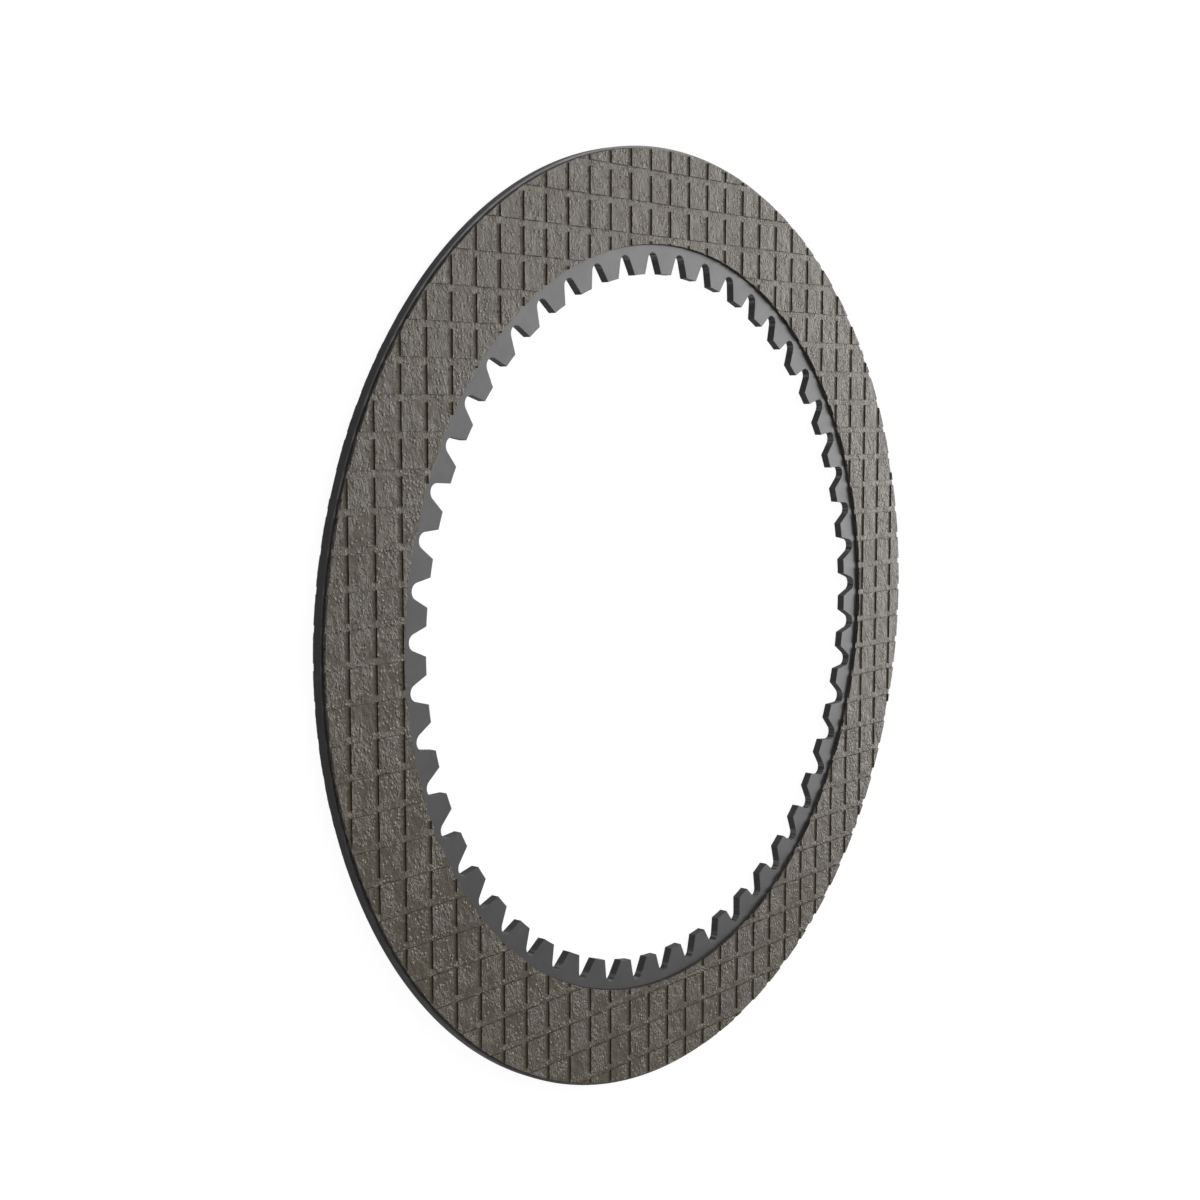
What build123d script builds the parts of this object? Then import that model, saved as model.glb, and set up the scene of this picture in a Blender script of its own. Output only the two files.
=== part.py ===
from build123d import *
from math import cos, radians, sin, tan
import os

# Wet multi-plate clutch disc, in millimetres. It lies on its back friction face: the origin is
# on the axis at that face, +Z points out of the front face, and a spline tooth points at +Y.

# Spline inside the steel core plate
tooth_count = 51
tooth_root_radius = 82.9        # from the axis to the bottom of each gap
tooth_depth = 4.75              # from the bottom of a gap to the tooth tips
root_arc_radius = 1.75          # the full round at the bottom of each gap
flank_angle = 20.0              # degrees between a flank and the middle line of its gap

# Rings from the spline outwards
inner_land = 1.8                # bare steel between the gaps and the facings
facing_width = 20.7             # radial width of the friction facings
outer_land = 0.6                # bare steel outside the facings

# Thicknesses
core_thickness = 1.9
facing_thickness = 0.86

# Square grid of oil grooves, with one groove through the axis each way
groove_pitch = 7.14
groove_width = 1.4
groove_depth = 0.4

facing_inner_radius = tooth_root_radius + inner_land
facing_outer_radius = facing_inner_radius + facing_width
core_outer_radius = facing_outer_radius + outer_land
tooth_tip_radius = tooth_root_radius - tooth_depth
root_arc_centre = tooth_root_radius - root_arc_radius
first_gap_angle = 90 + 180 / tooth_count
grooves_each_side = int(facing_outer_radius // groove_pitch)
groove_count = 2 * grooves_each_side + 1

core_back = Plane.XY.offset(facing_thickness)
core_front = core_back.offset(core_thickness)
os.makedirs("parts", exist_ok=True)


# Gap between two teeth, drawn round the centre of its root arc with x pointing away from the
# disc's axis. Its straight flanks are tangent to the arc and run on past the tooth tips.
with BuildSketch() as tooth_gap:
    slope = radians(flank_angle)
    tangent_x = root_arc_radius * sin(slope)
    tangent_y = root_arc_radius * cos(slope)
    mouth_y = root_arc_radius / cos(slope) + tooth_depth * tan(slope)
    with BuildLine():
        flank = Line((-tooth_depth, mouth_y), (tangent_x, tangent_y))
        root = ThreePointArc(flank @ 1, (root_arc_radius, 0), (tangent_x, -tangent_y))
        far_flank = Line(root @ 1, (-tooth_depth, -mouth_y))
        Line(far_flank @ 1, flank @ 0)
    make_face()

# Core plate: one ring blanked from steel sheet, with its internal spline
with BuildPart() as core_plate:
    with BuildSketch(core_back):
        Circle(core_outer_radius)
        Circle(tooth_tip_radius, mode=Mode.SUBTRACT)
        with PolarLocations(root_arc_centre, tooth_count, start_angle=first_gap_angle):
            add(tooth_gap.sketch, mode=Mode.SUBTRACT)
    extrude(amount=core_thickness)
core_plate.part.label = "core_plate"
export_step(core_plate.part, "parts/core_plate.step")


# Friction facing: one ring of friction material bonded to a face of the core plate, with the
# oil grooves cut part of the way into its free face.
def friction_facing(bonded_face):
    with BuildPart() as facing:
        with BuildSketch(bonded_face):
            Circle(facing_outer_radius)
            Circle(facing_inner_radius, mode=Mode.SUBTRACT)
        extrude(amount=facing_thickness)
        with BuildSketch(bonded_face.offset(facing_thickness)):
            with GridLocations(groove_pitch, groove_pitch, groove_count, 1):
                Rectangle(groove_width, 2 * core_outer_radius)
            with GridLocations(groove_pitch, groove_pitch, 1, groove_count):
                Rectangle(2 * core_outer_radius, groove_width)
        extrude(amount=-groove_depth, mode=Mode.SUBTRACT)
    return facing


front_facing = friction_facing(core_front)
front_facing.part.label = "front_facing"
export_step(front_facing.part, "parts/front_facing.step")

back_facing = friction_facing(Plane(core_back.origin, x_dir=(1, 0, 0), z_dir=(0, 0, -1)))
back_facing.part.label = "back_facing"
export_step(back_facing.part, "parts/back_facing.step")
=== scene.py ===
from math import radians

import bpy
import numpy as np
from mathutils import Matrix, Vector


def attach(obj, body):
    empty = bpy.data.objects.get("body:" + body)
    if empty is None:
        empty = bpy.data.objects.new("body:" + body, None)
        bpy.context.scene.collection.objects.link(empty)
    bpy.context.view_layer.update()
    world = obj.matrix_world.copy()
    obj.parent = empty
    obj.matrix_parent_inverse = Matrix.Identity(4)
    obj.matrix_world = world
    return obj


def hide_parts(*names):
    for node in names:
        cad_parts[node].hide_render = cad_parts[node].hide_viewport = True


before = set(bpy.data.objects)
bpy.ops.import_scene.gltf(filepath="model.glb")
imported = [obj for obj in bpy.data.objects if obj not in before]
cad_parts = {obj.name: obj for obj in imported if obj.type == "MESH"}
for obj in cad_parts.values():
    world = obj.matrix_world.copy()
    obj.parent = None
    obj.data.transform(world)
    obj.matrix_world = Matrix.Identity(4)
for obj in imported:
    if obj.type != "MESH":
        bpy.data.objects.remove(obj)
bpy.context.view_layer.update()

# Core plate: a ring blanked from sheet steel in one stroke, with the 51 spline teeth that slide
# on the hub. The blanked walls keep the drawn streaks of the punch, and both broad faces are
# ground flat before the facings are bonded on. Sizes are in millimetres.
TOOTH_COUNT = 51
TIP_RADIUS = 78.15
ROOT_RADIUS = 82.9
ROOT_ARC_RADIUS = 1.75
FLANK_ANGLE = radians(20.0)
CORE_RADIUS = 106.0
CORE_BACK = 0.86
CORE_FRONT = 2.76
EDGE_BREAK = 0.03
ROOT_POINTS = 22
FLANK_POINTS = 7
TIP_POINTS = 8
FACE_RING_RADII = (83.6, 85.2, 95.0, 105.0)
SHARP_ANGLE = radians(32.0)
MM = 0.001

# Radii between which the painted corner shade and the painted root glints fade in, and one beyond
# the spline.
CORNER_SHADE_INNER = (84.4, 84.7)
CORNER_SHADE_OUTER = (105.6, 105.4)
ROOT_FADE = (81.0, 82.0)
SPLINE_REACH = 90.0

FACE_GREY = (0.204, 0.204, 0.205, 1)
WALL_GREY = (0.225, 0.225, 0.228, 1)
# Painted glints down the round roots of the spline.
PAINTED_GLINT_GREY = (0.58, 0.58, 0.585, 1)
# Painted shade in the corner beside each facing.
PAINTED_CORNER_SHADE = (0.03, 0.026, 0.022, 1)


def spline_outline():
    """One closed loop of points round the spline, anticlockwise, the same for each tooth.
    A gap is a root arc about a point ROOT_ARC_RADIUS inside the root circle, with two straight
    flanks tangent to it that stop where they meet the circle of the tooth tips, and the tip
    between two gaps is an arc of that circle. Each row of the result is x, y in millimetres."""
    arc_centre = ROOT_RADIUS - ROOT_ARC_RADIUS
    turn = np.linspace(FLANK_ANGLE - np.pi / 2, np.pi / 2 - FLANK_ANGLE, ROOT_POINTS)
    arc_u = arc_centre + ROOT_ARC_RADIUS * np.cos(turn)
    arc_v = ROOT_ARC_RADIUS * np.sin(turn)
    # Along a flank the point is start + s * direction, and s solves the circle's quadratic.
    direction_u, direction_v = -np.cos(FLANK_ANGLE), np.sin(FLANK_ANGLE)
    along = arc_u[-1] * direction_u + arc_v[-1] * direction_v
    over = arc_u[-1] ** 2 + arc_v[-1] ** 2 - TIP_RADIUS ** 2
    length = -along - np.sqrt(along ** 2 - over)
    run = np.linspace(0, length, FLANK_POINTS + 1)[1:]
    flank_u = arc_u[-1] + run * direction_u
    flank_v = arc_v[-1] + run * direction_v
    corner = np.arctan2(flank_v[-1], flank_u[-1])
    tooth_turn = 2 * np.pi / TOOTH_COUNT
    tip = np.linspace(corner, tooth_turn - corner, TIP_POINTS + 2)[1:-1]
    u = np.concatenate([flank_u[::-1], arc_u, flank_u, TIP_RADIUS * np.cos(tip)])
    v = np.concatenate([-flank_v[::-1], arc_v, flank_v, TIP_RADIUS * np.sin(tip)])
    first_gap = np.pi / 2 + np.pi / TOOTH_COUNT
    gap = first_gap + tooth_turn * np.arange(TOOTH_COUNT)[:, None]
    x = u * np.cos(gap) - v * np.sin(gap)
    y = u * np.sin(gap) + v * np.cos(gap)
    return np.stack([x.ravel(), y.ravel()], axis=1)


def new_piece(name, points, corners, sizes):
    """A mesh object from points in millimetres, a flat list of corner indices and the number of
    corners of each face. Faces that meet below SHARP_ANGLE are shaded as one surface."""
    mesh = bpy.data.meshes.new(name)
    mesh.vertices.add(len(points))
    mesh.vertices.foreach_set("co", (points * MM).astype(np.float32).ravel())
    mesh.loops.add(len(corners))
    mesh.loops.foreach_set("vertex_index", corners.astype(np.int32))
    mesh.polygons.add(len(sizes))
    starts = np.concatenate([[0], np.cumsum(sizes)[:-1]])
    mesh.polygons.foreach_set("loop_start", starts.astype(np.int32))
    mesh.update(calc_edges=True)
    mesh.validate()
    mesh.shade_smooth()
    mesh.set_sharp_from_angle(angle=SHARP_ANGLE)
    piece = bpy.data.objects.new(name, mesh)
    bpy.context.scene.collection.objects.link(piece)
    return piece


def core_plate_mesh():
    """The spline outline and rings of the same number of points, joined into one closed skin.
    Each ring is the outline moved into the metal by the edge break, or a circle whose points
    have the outline's own angles, at its own height. The last ring joins the first again."""
    outline = spline_outline()
    angle = np.arctan2(outline[:, 1], outline[:, 0])
    step = np.roll(outline, -1, axis=0) - np.roll(outline, 1, axis=0)
    into_metal = np.stack([step[:, 1], -step[:, 0]], axis=1)
    into_metal /= np.linalg.norm(into_metal, axis=1, keepdims=True)
    broken = outline + EDGE_BREAK * into_metal
    circle = np.stack([np.cos(angle), np.sin(angle)], axis=1)
    high = CORE_FRONT - EDGE_BREAK
    front_rings = [(outline, high), (broken, CORE_FRONT)]
    for radius in (*FACE_RING_RADII, CORE_RADIUS - EDGE_BREAK):
        front_rings.append((circle * radius, CORE_FRONT))
    front_rings.append((circle * CORE_RADIUS, high))
    back_rings = [(ring, CORE_BACK + CORE_FRONT - z) for ring, z in reversed(front_rings)]
    rings = front_rings + back_rings
    points = np.concatenate([np.column_stack([ring, np.full(len(ring), z)]) for ring, z in rings])
    count = len(outline)
    here = np.arange(count)
    there = np.roll(here, -1)
    first = np.arange(len(rings))[:, None] * count
    after = np.roll(first, -1, axis=0)
    quads = np.stack([first + here, after + here, after + there, first + there], axis=-1)
    return points, quads.reshape(-1), np.full(quads.size // 4, 4)


core_plate = new_piece("core_plate_steel", *core_plate_mesh())


def new_material(name):
    """A material, its node tree and its shader."""
    material = bpy.data.materials.new(name)
    material.use_nodes = True
    tree = material.node_tree
    return material, tree, tree.nodes["Principled BSDF"]


def node(tree, kind, **settings):
    """A new node in a tree. A setting whose name starts with in_ is an input's value or link."""
    made = tree.nodes.new(kind)
    for name, value in settings.items():
        if not name.startswith("in_"):
            setattr(made, name, value)
    for name, value in settings.items():
        if name.startswith("in_"):
            key = int(name[3:]) if name[3:].isdigit() else name[3:].replace("_", " ")
            if isinstance(value, bpy.types.NodeSocket):
                tree.links.new(value, made.inputs[key])
            else:
                made.inputs[key].default_value = value
    return made


def noise(tree, place, scale, detail, roughness=0.5, distortion=0.0):
    """Cloudy noise about 0.5. The scale is in cells to a metre, or to a unit of place."""
    return node(tree, "ShaderNodeTexNoise", in_Vector=place, in_Scale=scale, in_Detail=detail,
                in_Roughness=roughness, in_Distortion=distortion).outputs[0]


def streaked(tree, place, scale, detail, roughness):
    """Noise with a scale of its own along each axis, in cells to a metre."""
    scaled = node(tree, "ShaderNodeMapping", in_Vector=place, in_Scale=scale).outputs[0]
    return noise(tree, scaled, 1.0, detail, roughness)


def ranged(tree, value, low, high, to_low=0.0, to_high=1.0):
    """A value moved from the range of low and high to another range, and held inside it."""
    return node(tree, "ShaderNodeMapRange", in_Value=value, in_From_Min=low, in_From_Max=high,
                in_To_Min=to_low, in_To_Max=to_high, clamp=True).outputs[0]


def maths(tree, operation, first, second=0.0, third=0.0):
    """A calculation with up to three values. MULTIPLY_ADD is first times second, plus third."""
    return node(tree, "ShaderNodeMath", operation=operation, in_0=first, in_1=second,
                in_2=third).outputs[0]


def mixed(tree, share, first, second):
    """Two colours mixed: all of the first where share is 0, and all of the second where it is 1."""
    return node(tree, "ShaderNodeMix", data_type="RGBA", in_0=share, in_6=first,
                in_7=second).outputs[2]


def mixed_value(tree, share, first, second):
    """Two values mixed, as mixed does with colours."""
    return node(tree, "ShaderNodeMix", data_type="FLOAT", in_0=share, in_2=first,
                in_3=second).outputs[0]


def scaled_colour(tree, colour, factor):
    """A colour made darker or paler by a factor that varies over the surface."""
    product = node(tree, "ShaderNodeVectorMath", operation="SCALE", in_0=colour)
    tree.links.new(factor, product.inputs["Scale"])
    return product.outputs[0]


def steel_material():
    """Cold rolled steel: neutral grey with a faint cross-ground grain on the faces, axial punch
    streaks on the walls, painted glints down the round roots, and a thin line of painted shade in
    the corner where a facing begins."""
    material, tree, shader = new_material("blanked_steel")
    place = node(tree, "ShaderNodeTexCoord").outputs["Object"]
    # The radius is in millimetres. The face mask is 1 on the two flat faces, and the painted shade
    # mask is 1 where a facing covers them, fading out over a thin band of painted shade in the
    # corner round each facing's edge.
    normal = node(tree, "ShaderNodeNewGeometry").outputs["Normal"]
    upright = node(tree, "ShaderNodeSeparateXYZ", in_Vector=normal).outputs["Z"]
    face = ranged(tree, maths(tree, "ABSOLUTE", upright), 0.5, 0.9)
    flat = node(tree, "ShaderNodeVectorMath", operation="MULTIPLY", in_0=place,
                in_1=(1000, 1000, 0)).outputs[0]
    radius = node(tree, "ShaderNodeVectorMath", operation="LENGTH", in_0=flat).outputs["Value"]
    corner_shade = maths(tree, "MINIMUM", ranged(tree, radius, *CORNER_SHADE_INNER),
                 ranged(tree, radius, *CORNER_SHADE_OUTER))
    corner_shade = maths(tree, "POWER", maths(tree, "MULTIPLY", corner_shade, face), 1.6)

    grain = streaked(tree, place, (9000, 700, 9000), 3.0, 0.6)
    streak = streaked(tree, place, (3500, 3500, 160), 2.0, 0.5)
    pattern = mixed_value(tree, face, streak, grain)
    cloud = noise(tree, place, 160.0, 4.0, 0.55)
    tone = maths(tree, "MULTIPLY", ranged(tree, cloud, 0.3, 0.7, 0.92, 1.06),
                 ranged(tree, pattern, 0.25, 0.75, 0.91, 1.09))
    # Bright bands down the round roots of the spline are painted glints, in axial streaks.
    glint_band = ranged(tree, streaked(tree, place, (1300, 1300, 60), 2.0, 0.6), 0.45, 0.56)
    root = maths(tree, "MULTIPLY", ranged(tree, radius, *ROOT_FADE),
                 maths(tree, "LESS_THAN", radius, SPLINE_REACH))
    wall = mixed(tree, maths(tree, "MULTIPLY", glint_band, root), WALL_GREY, PAINTED_GLINT_GREY)
    steel = scaled_colour(tree, mixed(tree, face, wall, FACE_GREY), tone)
    # Painted shade: the steel goes dark in the corner beside each facing, and is not metallic
    # there.
    colour = mixed(tree, corner_shade, steel, PAINTED_CORNER_SHADE)

    rough = mixed_value(tree, face, 0.6, ranged(tree, pattern, 0.2, 0.8, 0.38, 0.46))
    bump = node(tree, "ShaderNodeBump", in_Strength=0.5, in_Distance=0.00001,
                in_Height=pattern).outputs[0]
    bare = maths(tree, "MULTIPLY", maths(tree, "SUBTRACT", 1.0, corner_shade), face)
    tree.links.new(colour, shader.inputs["Base Color"])
    tree.links.new(rough, shader.inputs["Roughness"])
    tree.links.new(bump, shader.inputs["Normal"])
    tree.links.new(bare, shader.inputs["Metallic"])
    shader.inputs["Specular IOR Level"].default_value = 0.06
    return material


core_plate.data.materials.append(steel_material())
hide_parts("core_plate")
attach(core_plate, "root")

# Friction facings: two rings of resin-bonded friction material, one bonded to each face of the
# core plate. The oil grooves are a square grid cut less than half way through, so that the ring
# is left as rows of square pads. The material is porous, with pits and grit over its face.
FACING_INNER = 84.7
FACING_OUTER = 105.4
FACING_MIDDLE = (FACING_INNER + FACING_OUTER) / 2
FACING_THICKNESS = 0.86
GROOVE_PITCH = 7.14
GROOVE_WIDTH = 1.4
GROOVE_DEPTH = 0.37
WALL_LEAN = 0.02
HALF_PAD_CELLS = 7

RELIEF = 0.09
FLOOR_RELIEF = 0.35
SWELL_SIZE = 4.1
PATCH_SIZE = 3.3
GRAIN_SIZE = 1.25
PIT_SIZE = 2.3
PIT_LEVEL = 0.72
CRUMB = 0.09
CRUMB_SIZE = 0.55
TABLE = 256

GRAIN_HEIGHT = 0.18
FOLD_HEIGHT = 0.11
FINE_HEIGHT = 0.055
ROLL_HEIGHT = 0.21

DARK_BROWN = (0.152, 0.125, 0.080, 1)
PALE_BROWN = (0.167, 0.139, 0.092, 1)
GREY_BROWN = (0.156, 0.127, 0.098, 1)
# Painted shade for the rims and the groove walls.
WALL_SHADE_BROWN = (0.085, 0.058, 0.046, 1)


def lattice_noise(x, y, size, seed):
    """Random heights from 0 to 1 on a square lattice, eased from each point to the next."""
    heights = np.random.default_rng(seed).random((TABLE, TABLE))
    i, j = np.floor(x / size).astype(int), np.floor(y / size).astype(int)
    u, v = x / size - i, y / size - j
    u, v = u * u * (3 - 2 * u), v * v * (3 - 2 * v)
    here_i, next_i = i % TABLE, (i + 1) % TABLE
    here_j, next_j = j % TABLE, (j + 1) % TABLE
    near = heights[here_i, here_j] * (1 - u) + heights[next_i, here_j] * u
    far = heights[here_i, next_j] * (1 - u) + heights[next_i, next_j] * u
    return near * (1 - v) + far * v


def pebble_noise(x, y, size, seed):
    """Rounded grains: one point is thrown into each square of the lattice, and the height falls
    from 1 with the square of the distance to the nearest point, down to 0."""
    fall = 1.6
    throw = np.random.default_rng(seed).random((TABLE, TABLE, 2))
    i, j = np.floor(x / size).astype(int), np.floor(y / size).astype(int)
    nearest = np.full(x.shape, np.inf)
    for a in (-1, 0, 1):
        for b in (-1, 0, 1):
            spot = throw[(i + a) % TABLE, (j + b) % TABLE]
            away = (i + a + spot[..., 0] - x / size) ** 2 + (j + b + spot[..., 1] - y / size) ** 2
            nearest = np.minimum(nearest, away)
    return np.clip(1 - fall * nearest, 0, 1)


def face_relief(x, y, seed):
    """Depth below the flat face from 0 to 1: a slow swell, and grains that come and go in
    patches, with a few deep pits between them."""
    swell = lattice_noise(x, y, SWELL_SIZE, seed)
    patch = np.clip(2.2 * lattice_noise(x, y, PATCH_SIZE, seed + 1) - 0.6, 0, 1)
    grains = pebble_noise(x, y, GRAIN_SIZE, seed + 2) * patch
    pits = np.clip(pebble_noise(x, y, PIT_SIZE, seed + 3) - PIT_LEVEL, 0, 1) / (1 - PIT_LEVEL)
    pits *= 1 - patch
    return np.clip(0.45 + 0.3 * swell - 0.5 * grains + 0.35 * pits, 0, 1)


def groove_lines():
    """Grid lines across all the grooves: two cells over a groove's floor, one over each of its
    leaning walls, and HALF_PAD_CELLS over each half of the pad to the next groove. Gives the
    lines' places and their heights, 0 on a groove's floor and 1 on a pad."""
    half = GROOVE_WIDTH / 2
    pad = np.linspace(half + WALL_LEAN / 2, GROOVE_PITCH / 2, HALF_PAD_CELLS + 1)[:-1]
    side = np.concatenate([[half - WALL_LEAN / 2], pad])
    one = np.concatenate([-side[::-1], [0.0], side, [GROOVE_PITCH / 2]])
    floor_lines = np.zeros(3)
    high = np.concatenate([np.ones(HALF_PAD_CELLS), floor_lines, np.ones(HALF_PAD_CELLS + 1)])
    reach = int(FACING_OUTER // GROOVE_PITCH) + 1
    steps = np.arange(-reach, reach + 1)
    return (steps[:, None] * GROOVE_PITCH + one).ravel(), np.tile(high, len(steps))


def rim_crossings(x, y, height, inside, along_x):
    """Where the two circles cross the grid's edges along one axis. Gives which of these edges
    are crossed, and for each that is, the point on the circle and its height."""
    start, end = slice(None, -1), slice(1, None)
    a = (start, slice(None)) if along_x else (slice(None), start)
    b = (end, slice(None)) if along_x else (slice(None), end)
    crossed = inside[a] != inside[b]
    xa, ya, xb, yb = x[a][crossed], y[a][crossed], x[b][crossed], y[b][crossed]
    lowest = np.minimum(np.hypot(xa, ya), np.hypot(xb, yb))
    ring = np.where(lowest < FACING_MIDDLE, FACING_INNER, FACING_OUTER)
    moving, still = (xa, ya) if along_x else (ya, xa)
    far = xb if along_x else yb
    meet = np.sign(moving + far) * np.sqrt(np.maximum(ring ** 2 - still ** 2, 0))
    part = np.clip((meet - moving) / (far - moving), 0, 1)
    z = height[a][crossed] * (1 - part) + height[b][crossed] * part
    spot = (meet, still, z) if along_x else (still, meet, z)
    return crossed, np.stack(spot, axis=-1)


def numbered(crossed, first):
    """The number of each crossed edge's point, counted up from first, and -1 elsewhere."""
    numbers = np.full(crossed.shape, -1)
    numbers[crossed] = first + np.arange(crossed.sum())
    return numbers


def cut_grid():
    """The grid of groove lines, cut out between the two circles. A cell that a circle crosses
    is cut along it: its corners in the ring are kept, and each grid edge that the circle
    crosses gives one new point on the circle. Gives the points with heights from 0 to 1, the
    faces' corners, the number of corners of each face, and the pairs of points along the rims."""
    line, high = groove_lines()
    x, y = np.meshgrid(line, line, indexing="ij")
    height = np.minimum(high[:, None], high[None, :])
    radius = np.hypot(x, y)
    inside = (radius >= FACING_INNER) & (radius <= FACING_OUTER)
    across, across_points = rim_crossings(x, y, height, inside, True)
    up, up_points = rim_crossings(x, y, height, inside, False)
    grid_points = np.stack([x, y, height], axis=-1).reshape(-1, 3)
    points = np.concatenate([grid_points, across_points, up_points])
    index = np.arange(x.size).reshape(x.shape)
    across = numbered(across, x.size)
    up = numbered(up, x.size + len(across_points))
    # A cell's eight places, anticlockwise: corner, edge, corner, edge and so on.
    places = np.stack([index[:-1, :-1], across[:, :-1], index[1:, :-1], up[1:, :],
                       index[1:, 1:], across[:, 1:], index[:-1, 1:], up[:-1, :]], axis=-1)
    kept = np.stack([inside[:-1, :-1], inside[1:, :-1], inside[1:, 1:], inside[:-1, 1:]], axis=-1)
    places, kept = places.reshape(-1, 8), kept.reshape(-1, 4)
    code = kept @ np.array([1, 2, 4, 8])
    corners, sizes, rims = [], [], []
    for value in range(1, 16):
        cells = places[code == value]
        if not len(cells):
            continue
        held = [bool(value >> k & 1) for k in range(4)]
        wanted, leave, meet = [], [], []
        for k in range(4):
            if held[k]:
                wanted.append(2 * k)
            if held[k] != held[(k + 1) % 4]:
                wanted.append(2 * k + 1)
                (leave if held[k] else meet).append(2 * k + 1)
        corners.append(cells[:, wanted].ravel())
        sizes.append(np.full(len(cells), len(wanted)))
        # The cut runs from the edge where the ring is left to the edge where it is met again.
        if len(leave) == 1:
            rims.append(cells[:, [leave[0], meet[0]]])
    used, corners = np.unique(np.concatenate(corners), return_inverse=True)
    rims = np.searchsorted(used, np.concatenate(rims))
    return points[used], corners, np.concatenate(sizes), rims


def bonded_strip(foot):
    """Triangles between the outer rim's foot and the inner rim's. Both are sorted by angle, and
    each step along one makes a triangle with the last point passed on the other. Of two points
    at one angle, the outer is first."""
    angle = np.arctan2(foot[:, 1], foot[:, 0])
    reach = np.hypot(foot[:, 0], foot[:, 1])
    outer = np.flatnonzero(reach > FACING_MIDDLE)
    inner = np.flatnonzero(reach <= FACING_MIDDLE)
    outer, inner = outer[np.argsort(angle[outer])], inner[np.argsort(angle[inner])]
    strips = []
    for mine, other, side in ((outer, inner, "left"), (inner, outer, "right")):
        step = np.roll(mine, -1)
        third = other[np.searchsorted(angle[other], angle[step], side=side) - 1]
        strips.append(np.stack([step, mine, third] if side == "left" else [mine, step, third], 1))
    return np.concatenate(strips)


def turned_over(corners, sizes):
    """Each face's corners in the other order, for a surface that is turned over."""
    starts = np.concatenate([[0], np.cumsum(sizes)[:-1]])
    face = np.repeat(np.arange(len(sizes)), sizes)
    place = np.arange(len(corners)) - starts[face]
    return corners[starts[face] + sizes[face] - 1 - place]


def waffle_ring(bonded_z, free_z, seed):
    """One facing, from the cut grid. The pads are at free_z, the grooves lie GROOVE_DEPTH below
    them, and the relief lies below both. The rims go down to bonded_z, and a strip of triangles
    closes that side from the outer rim to the inner one."""
    points, corners, sizes, rims = cut_grid()
    level = points[:, 2].copy()
    relief = face_relief(points[:, 0], points[:, 1], seed) * RELIEF
    relief *= FLOOR_RELIEF + (1 - FLOOR_RELIEF) * level
    sense = np.sign(free_z - bonded_z)
    points[:, 2] = free_z - sense * (GROOVE_DEPTH * (1 - level) + relief)

    # The rims' foot: the same points straight below, on the bonded side.
    on_rim = rims[:, 0]
    foot = points[on_rim].copy()
    foot[:, 2] = bonded_z
    top = len(points)
    below = np.full(top, -1)
    below[on_rim] = top + np.arange(len(rims))
    walls = np.stack([rims[:, 1], on_rim, below[on_rim], below[rims[:, 1]]], axis=1)
    # A few crumbs are missing along both edges of the face.
    reach = np.hypot(foot[:, 0], foot[:, 1])
    crumb = CRUMB * lattice_noise(foot[:, 0], foot[:, 1], CRUMB_SIZE, seed + 4) ** 2
    toward = np.where(reach > FACING_MIDDLE, -1.0, 1.0) * crumb
    points[on_rim, :2] *= (1 + toward / reach)[:, None]

    strips = bonded_strip(foot) + top
    points = np.concatenate([points, foot])
    corners = np.concatenate([corners, walls.ravel(), strips.ravel()])
    sizes = np.concatenate([sizes, np.full(len(walls), 4), np.full(len(strips), 3)])
    if sense < 0:
        corners = turned_over(corners, sizes)
    return points, corners, sizes


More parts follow.
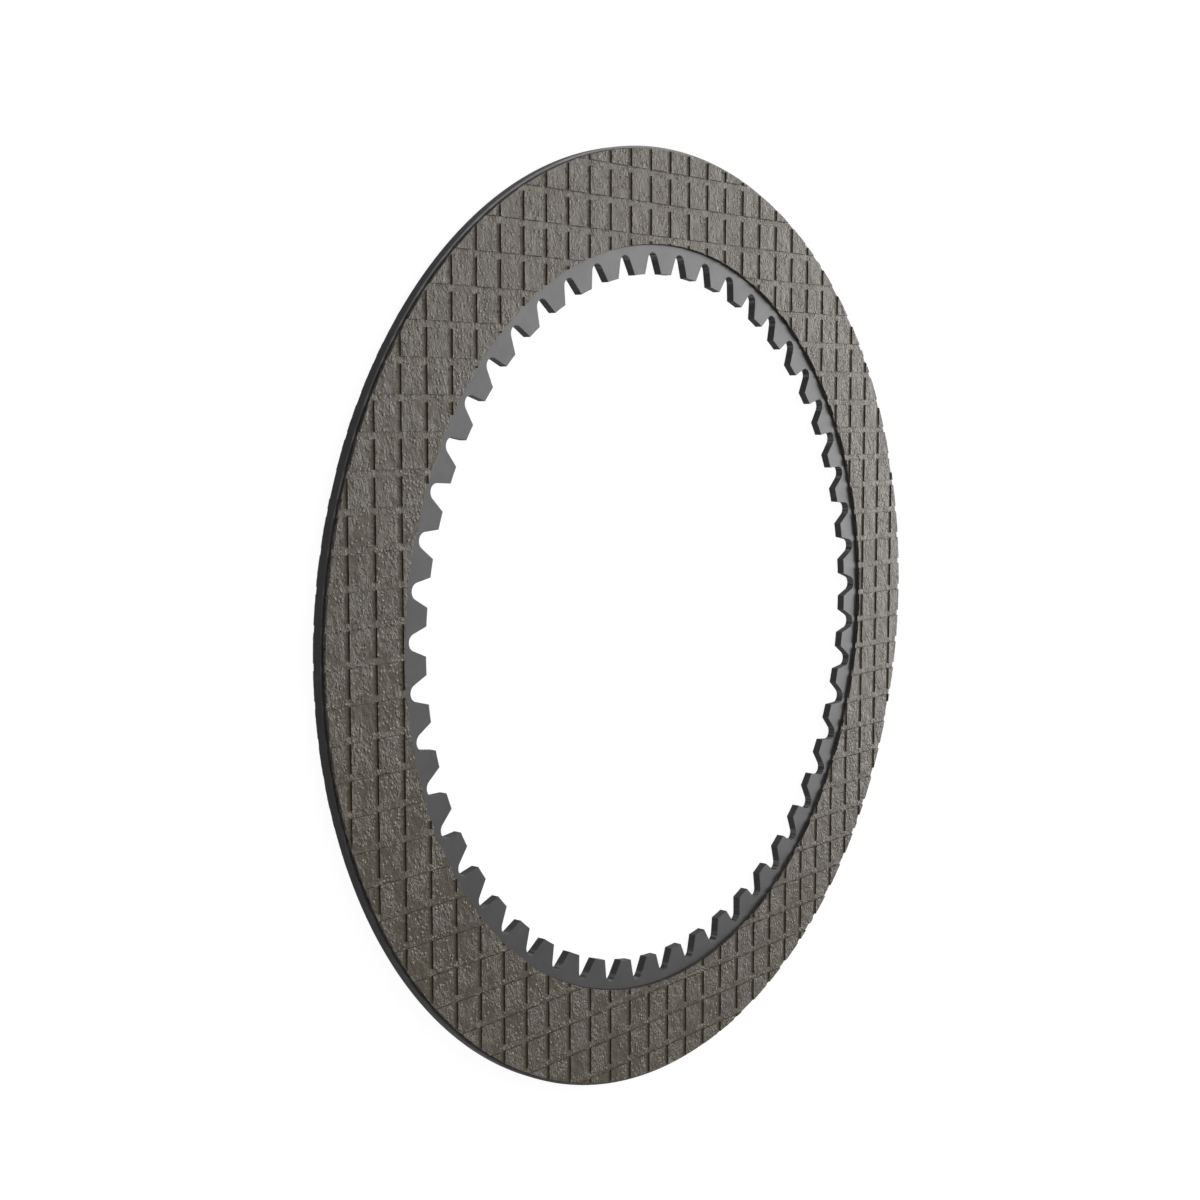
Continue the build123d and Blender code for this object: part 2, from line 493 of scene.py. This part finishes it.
def friction_material():
    """Friction composite: brown grey and matt. Its skin is smooth in places and in others wrinkled
    or strewn with round grains, with painted highlight on the crests and painted shade in the
    hollows. The rims and groove walls carry painted shade, darker than the face, and the groove
    floors painted light, a little paler. Heights are summed in millimetres."""
    material, tree, shader = new_material("friction_composite")
    place = node(tree, "ShaderNodeTexCoord").outputs["Object"]

    # Grains: the cells of a Voronoi pattern, of which a share is kept where the patch allows.
    strewn = ranged(tree, noise(tree, place, 210.0, 3.0, 0.6), 0.42, 0.60)
    cells = node(tree, "ShaderNodeTexVoronoi", in_Vector=place, in_Scale=1150.0)
    share = node(tree, "ShaderNodeSeparateColor", in_Color=cells.outputs["Color"]).outputs[0]
    kept = maths(tree, "GREATER_THAN", maths(tree, "MULTIPLY_ADD", strewn, 0.62, share), 0.90)
    grain = maths(tree, "MULTIPLY", ranged(tree, cells.outputs["Distance"], 0.50, 0.12), kept)
    # Wrinkles: sharp crests along the middle level of a noise stretched one way. They come
    # and go, and lie over a softer grain that is there everywhere.
    stretched = node(tree, "ShaderNodeMapping", vector_type="TEXTURE", in_Vector=place,
                     in_Scale=(1.0, 1.9, 1.0), in_Rotation=(0, 0, radians(18))).outputs[0]
    fold = noise(tree, stretched, 900.0, 3.0, 0.55, 1.1)
    fold = maths(tree, "ABSOLUTE", maths(tree, "SUBTRACT", fold, 0.5))
    ruffled = ranged(tree, noise(tree, place, 180.0, 3.0, 0.6), 0.44, 0.60, 0.12, 1.0)
    fold = maths(tree, "MULTIPLY", ranged(tree, fold, 0.10, 0.0), ruffled)
    soft = noise(tree, stretched, 950.0, 2.0, 0.5, 0.6)
    softness = ranged(tree, ruffled, 0.12, 1.0, 0.13, 0.26)
    fine = noise(tree, place, 2100.0, 3.0, 0.6)
    height = maths(tree, "MULTIPLY", grain, GRAIN_HEIGHT)
    height = maths(tree, "MULTIPLY_ADD", fold, FOLD_HEIGHT, height)
    height = maths(tree, "MULTIPLY_ADD", soft, softness, height)
    height = maths(tree, "MULTIPLY_ADD", fine, FINE_HEIGHT, height)
    # Painted shade and highlight: the colour is darker in the hollows of the relief and paler on
    # its crests.
    painted_relief_shade = ranged(tree, height, 0.08, 0.30, 0.90, 1.12)
    roll = noise(tree, place, 330.0, 2.0)
    height = maths(tree, "MULTIPLY_ADD", roll, ROLL_HEIGHT, height)
    bump = node(tree, "ShaderNodeBump", in_Strength=1.0, in_Distance=MM,
                in_Height=height).outputs[0]

    ramp = node(tree, "ShaderNodeValToRGB", in_0=noise(tree, place, 150.0, 4.0, 0.6))
    ramp.color_ramp.elements[0].position = 0.30
    ramp.color_ramp.elements[0].color = DARK_BROWN
    ramp.color_ramp.elements[1].position = 0.70
    ramp.color_ramp.elements[1].color = PALE_BROWN
    tint = ranged(tree, noise(tree, place, 260.0, 3.0, 0.6), 0.50, 0.66, 0.0, 0.7)
    colour = mixed(tree, tint, ramp.outputs[0], GREY_BROWN)
    # The rims and the groove walls get painted shade: the steeper the face, the nearer its colour
    # goes to a dark brown.
    normal = node(tree, "ShaderNodeNewGeometry").outputs["True Normal"]
    level = node(tree, "ShaderNodeSeparateXYZ", in_Vector=normal).outputs["Z"]
    level = ranged(tree, maths(tree, "ABSOLUTE", level), 0.3, 0.8)
    colour = mixed(tree, level, WALL_SHADE_BROWN, colour)
    # The groove floors, at least 0.26 mm below the faces, are painted a little paler: painted light
    # against the shadow of their walls.
    middle = (CORE_BACK + CORE_FRONT) / 2
    free_face = middle - CORE_BACK + FACING_THICKNESS
    depth = node(tree, "ShaderNodeSeparateXYZ", in_Vector=place).outputs["Z"]
    depth = maths(tree, "ABSOLUTE", maths(tree, "SUBTRACT", depth, middle * MM))
    floor = ranged(tree, depth, (free_face - 0.26) * MM, (free_face - 0.36) * MM)
    tone = maths(tree, "MULTIPLY", painted_relief_shade, maths(tree, "MULTIPLY_ADD", floor, 0.14, 1.0))
    colour = scaled_colour(tree, colour, tone)
    tree.links.new(colour, shader.inputs["Base Color"])
    tree.links.new(ranged(tree, fine, 0.3, 0.7, 0.38, 0.29), shader.inputs["Roughness"])
    tree.links.new(bump, shader.inputs["Normal"])
    shader.inputs["Specular IOR Level"].default_value = 0.9
    return material


friction_composite = friction_material()

# Front facing: the ring of friction material that the photo shows, bonded to the front of the
# core plate with its grooves outwards.
front_facing = new_piece("front_friction_facing",
                         *waffle_ring(CORE_FRONT, CORE_FRONT + FACING_THICKNESS, seed=11))
front_facing.data.materials.append(friction_composite)
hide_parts("front_facing")
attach(front_facing, "root")

# Back facing: the same ring turned over and bonded to the back of the core plate. The disc lies
# on it, and it has a swell, grains and pits of its own.
back_facing = new_piece("back_friction_facing",
                        *waffle_ring(CORE_BACK, CORE_BACK - FACING_THICKNESS, seed=41))
back_facing.data.materials.append(friction_composite)
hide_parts("back_facing")
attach(back_facing, "root")

# Studio floor and backdrop: one sheet of white card that lies under the disc and curves up to a
# wall six metres away. The camera and reflections see it white, and it keeps the soft shadow.
# Sizes from here on are in metres.
CARD_SIDES = 96
CARD_DROP = 0.0001
CARD_RADIUS = 6.0
CARD_BEND = 0.5
CARD_TOP = 1.2
CARD_GREY = (0.16, 0.16, 0.16, 1)


def card_mesh():
    """Rings of points outwards over the floor, round the bend and up the wall, joined by faces,
    with a middle point that the innermost ring is joined to."""
    profile = [(0.3, 0.0), (1.0, 0.0), (3.0, 0.0)]
    for turn in np.linspace(0, np.pi / 2, 9):
        profile.append((CARD_RADIUS - CARD_BEND + CARD_BEND * np.sin(turn),
                        CARD_BEND - CARD_BEND * np.cos(turn)))
    profile = np.array(profile + [(CARD_RADIUS, CARD_TOP)])
    around = np.linspace(0, 2 * np.pi, CARD_SIDES + 1)[:-1]
    points = np.stack([profile[:, :1] * np.cos(around), profile[:, :1] * np.sin(around),
                       profile[:, 1:] - CARD_DROP + 0 * around], axis=-1).reshape(-1, 3)
    points = np.concatenate([points, [[0, 0, -CARD_DROP]]])
    here = np.arange(CARD_SIDES)
    there = np.roll(here, -1)
    first = CARD_SIDES * np.arange(len(profile) - 1)[:, None]
    after = first + CARD_SIDES
    faces = np.stack([first + here, after + here, after + there, first + there], axis=-1)
    faces = [tuple(face) for face in faces.reshape(-1, 4).tolist()]
    faces += [(len(points) - 1, k, (k + 1) % CARD_SIDES) for k in range(CARD_SIDES)]
    mesh = bpy.data.meshes.new("studio_card")
    mesh.from_pydata(points.tolist(), [], faces)
    mesh.shade_smooth()
    return mesh


def card_material():
    """Matt white card. Its glow is for camera, glossy and transmission rays alone: 1 is white,
    and near the disc it is a little less, where the lamps make up the rest."""
    material, tree, shader = new_material("white_card")
    shader.inputs["Base Color"].default_value = CARD_GREY
    shader.inputs["Roughness"].default_value = 0.9
    shader.inputs["Specular IOR Level"].default_value = 0.0
    path = node(tree, "ShaderNodeLightPath")
    seen = maths(tree, "MAXIMUM", path.outputs["Is Camera Ray"], path.outputs["Is Glossy Ray"])
    seen = maths(tree, "MAXIMUM", seen, path.outputs["Is Transmission Ray"])
    place = node(tree, "ShaderNodeTexCoord").outputs["Object"]
    away = node(tree, "ShaderNodeVectorMath", operation="LENGTH", in_0=place).outputs["Value"]
    glow = maths(tree, "MULTIPLY", seen, ranged(tree, away, 0.15, 0.5, 0.95, 1.0))
    glow = node(tree, "ShaderNodeEmission", in_Color=(1, 1, 1, 1), in_Strength=glow).outputs[0]
    both = node(tree, "ShaderNodeAddShader", in_0=shader.outputs[0], in_1=glow).outputs[0]
    tree.links.new(both, tree.nodes["Material Output"].inputs["Surface"])
    return material


studio_card = bpy.data.objects.new("studio_card", card_mesh())
bpy.context.scene.collection.objects.link(studio_card)
studio_card.data.materials.append(card_material())

# Studio light: a dim even room, one soft lamp high above the disc, two nearer above its far
# right, and three large soft panels far off beyond its right side.
room = bpy.data.worlds.new("room")
bpy.context.scene.world = room
room.use_nodes = True
room.node_tree.nodes["Background"].inputs["Color"].default_value = (1, 1, 1, 1)
room.node_tree.nodes["Background"].inputs["Strength"].default_value = 0.2


def soft_lamp(name, place, size, power):
    """A square area lamp at place, turned to face the middle of the disc."""
    lamp = bpy.data.lights.new(name, "AREA")
    lamp.size = size
    lamp.energy = power
    holder = bpy.data.objects.new(name, lamp)
    holder.location = place
    holder.rotation_euler = Vector(place).to_track_quat("Z", "Y").to_euler()
    bpy.context.scene.collection.objects.link(holder)


soft_lamp("ceiling", (0.0, 0.0, 1.50), size=1.0, power=1.2)
soft_lamp("near_corner", (0.35, 0.35, 0.60), size=0.45, power=0.98)
soft_lamp("far_corner", (0.50, 0.50, 0.50), size=0.40, power=0.56)
soft_lamp("low_panel", (1.45, 0.06, 0.39), size=0.85, power=3.77)
soft_lamp("high_panel", (1.40, 0.10, 0.55), size=0.80, power=2.13)
soft_lamp("front_panel", (1.40, -0.40, 0.55), size=0.70, power=0.35)

# Camera: 54.9 mm lens on a 36 mm square sensor, looking down on the disc from its left. It is
# turned on its own axis so that the disc's +Y points up in the picture.
lens = bpy.data.cameras.new("camera")
lens.lens = 54.9
lens.sensor_width = 36.0
camera = bpy.data.objects.new("camera", lens)
right = Vector((0.6283670, 0.0000271, 0.7779170))
upward = Vector((0.0782644, 0.9949240, -0.0632531))
forward = Vector((0.7739700, -0.1006294, -0.6251753))
stand = Vector((-0.3342, 0.0467, 0.2535))
camera.matrix_world = Matrix((
    (right.x, upward.x, -forward.x, stand.x),
    (right.y, upward.y, -forward.y, stand.y),
    (right.z, upward.z, -forward.z, stand.z),
    (0, 0, 0, 1)))
bpy.context.scene.collection.objects.link(camera)
bpy.context.scene.camera = camera
bpy.context.scene.view_settings.view_transform = "Standard"
